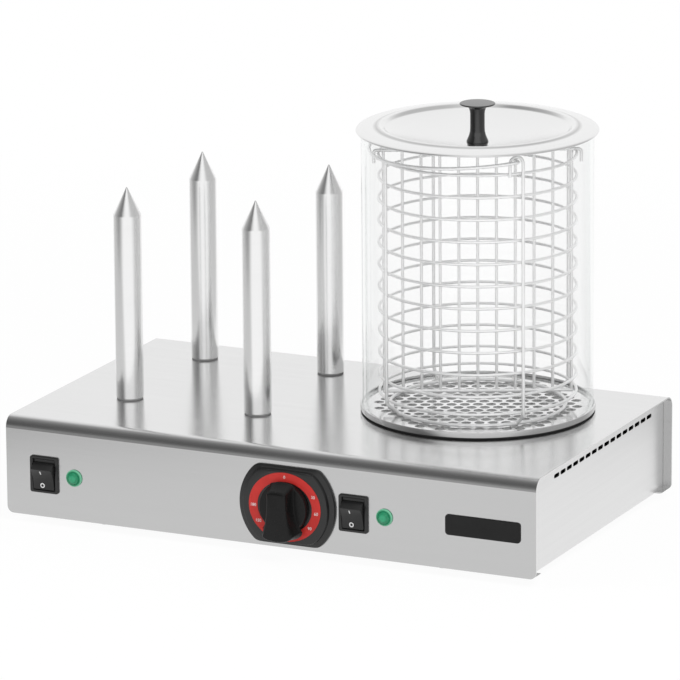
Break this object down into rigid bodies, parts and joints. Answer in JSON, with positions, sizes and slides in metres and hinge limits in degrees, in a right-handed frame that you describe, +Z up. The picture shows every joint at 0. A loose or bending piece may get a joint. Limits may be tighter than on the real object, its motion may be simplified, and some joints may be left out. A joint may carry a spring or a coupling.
{
  "type": "hot dog warmer",
  "caption": "Counter-top hot dog warmer: a low sheet-steel housing with upright heated spikes for rolls and a glass steam column holding a lift-out wire basket under a knobbed lid.",
  "frame": {"origin": "middle of the footprint, on the surface that the feet stand on", "axes": "+X to the right along the front panel, +Y from the front panel to the rear, +Z up"},
  "size_m": [0.5, 0.33, 0.3652],
  "materials": {
    "cover_steel": "fine brushed",
    "chassis_steel": "fine brushed",
    "polished_steel": "polished",
    "pan_steel": "satin",
    "lid_steel": "polished",
    "bright_wire": "bright plated wire",
    "fastener": "plain zinc",
    "heater_sheath": "dull",
    "rubber": "matt",
    "clear_glass": "clear",
    "black_gloss": "gloss",
    "black_satin": "satin",
    "dial_red": "printed",
    "control_body": "matt",
    "copper_tube": "drawn",
    "green_lens": "moulded lens",
    "ivory_block": "moulded"
  },
  "bodies": {
    "housing": {"cover": "cover_steel", "rear_panel": "cover_steel", "chassis": "chassis_steel", "feet": "rubber", "foot_screws": "fastener", "cover_screws": "fastener", "spike_front_left": "polished_steel", "spike_front_right": "polished_steel", "spike_rear_left": "polished_steel", "spike_rear_right": "polished_steel", "spike_washers": "rubber", "spike_nuts": "fastener", "spike_heaters": "heater_sheath", "pan": "pan_steel", "pan_seal": "rubber", "pan_nuts": "fastener", "pan_heater": "heater_sheath", "heater_clamp": "fastener", "clamp_nut": "fastener", "dial_bezel": "black_satin", "dial_ring": "dial_red", "thermostat": "control_body", "thermostat_screws": "fastener", "sensor": "copper_tube", "switch_left": "black_satin", "switch_right": "black_satin", "lamp_left": "green_lens", "lamp_right": "green_lens", "lamp_bodies": "control_body", "blank_plate": "black_gloss", "cable_gland": "black_satin", "gland_nut": "black_satin", "terminal_block": "ivory_block"},
    "dial": {"dial_knob": "black_satin", "thermostat_shaft": "fastener"},
    "left_rocker": {"rocker_left": "black_satin"},
    "right_rocker": {"rocker_right": "black_satin"},
    "glass_tube": {"glass": "clear_glass"},
    "plate": {"steam_plate": "pan_steel"},
    "basket": {"basket_rings": "bright_wire", "basket_legs": "bright_wire", "divider": "bright_wire"},
    "handle": {"bail": "bright_wire"},
    "lid_set": {"lid": "lid_steel", "lid_knob": "black_gloss", "lid_screw": "fastener"}
  },
  "joints": [
    {"name": "dial_turn", "type": "hinge", "parent": "housing", "child": "dial", "pos_m": [0.0205, -0.14, 0.046], "axis": [0, 1, 0], "range_deg": [0, 270]},
    {"name": "left_rocker_tilt", "type": "hinge", "parent": "housing", "child": "left_rocker", "pos_m": [-0.2128, -0.135, 0.046], "axis": [-1, 0, 0], "range_deg": [0, 36]},
    {"name": "right_rocker_tilt", "type": "hinge", "parent": "housing", "child": "right_rocker", "pos_m": [0.082, -0.135, 0.046], "axis": [-1, 0, 0], "range_deg": [0, 36]},
    {"name": "glass_lift", "type": "slide", "parent": "housing", "child": "glass_tube", "axis": [0, 0, 1], "range_m": [0, 0.06]},
    {"name": "plate_lift", "type": "slide", "parent": "glass_tube", "child": "plate", "axis": [0, 0, 1], "range_m": [0, 0.26]},
    {"name": "basket_lift", "type": "slide", "parent": "plate", "child": "basket", "axis": [0, 0, 1], "range_m": [0, 0.27]},
    {"name": "lid_lift", "type": "slide", "parent": "basket", "child": "lid_set", "axis": [0, 0, 1], "range_m": [0, 0.3]},
    {"name": "bail_swing", "type": "hinge", "parent": "basket", "child": "handle", "pos_m": [0.113, 0.0475, 0.333], "axis": [-0.7242, 0.6896, 0], "range_deg": [0, 180]}
  ],
  "couplings": [
    {"joint": "bail_swing", "follows": "lid_lift", "rad_per_m": 10.47}
  ]
}
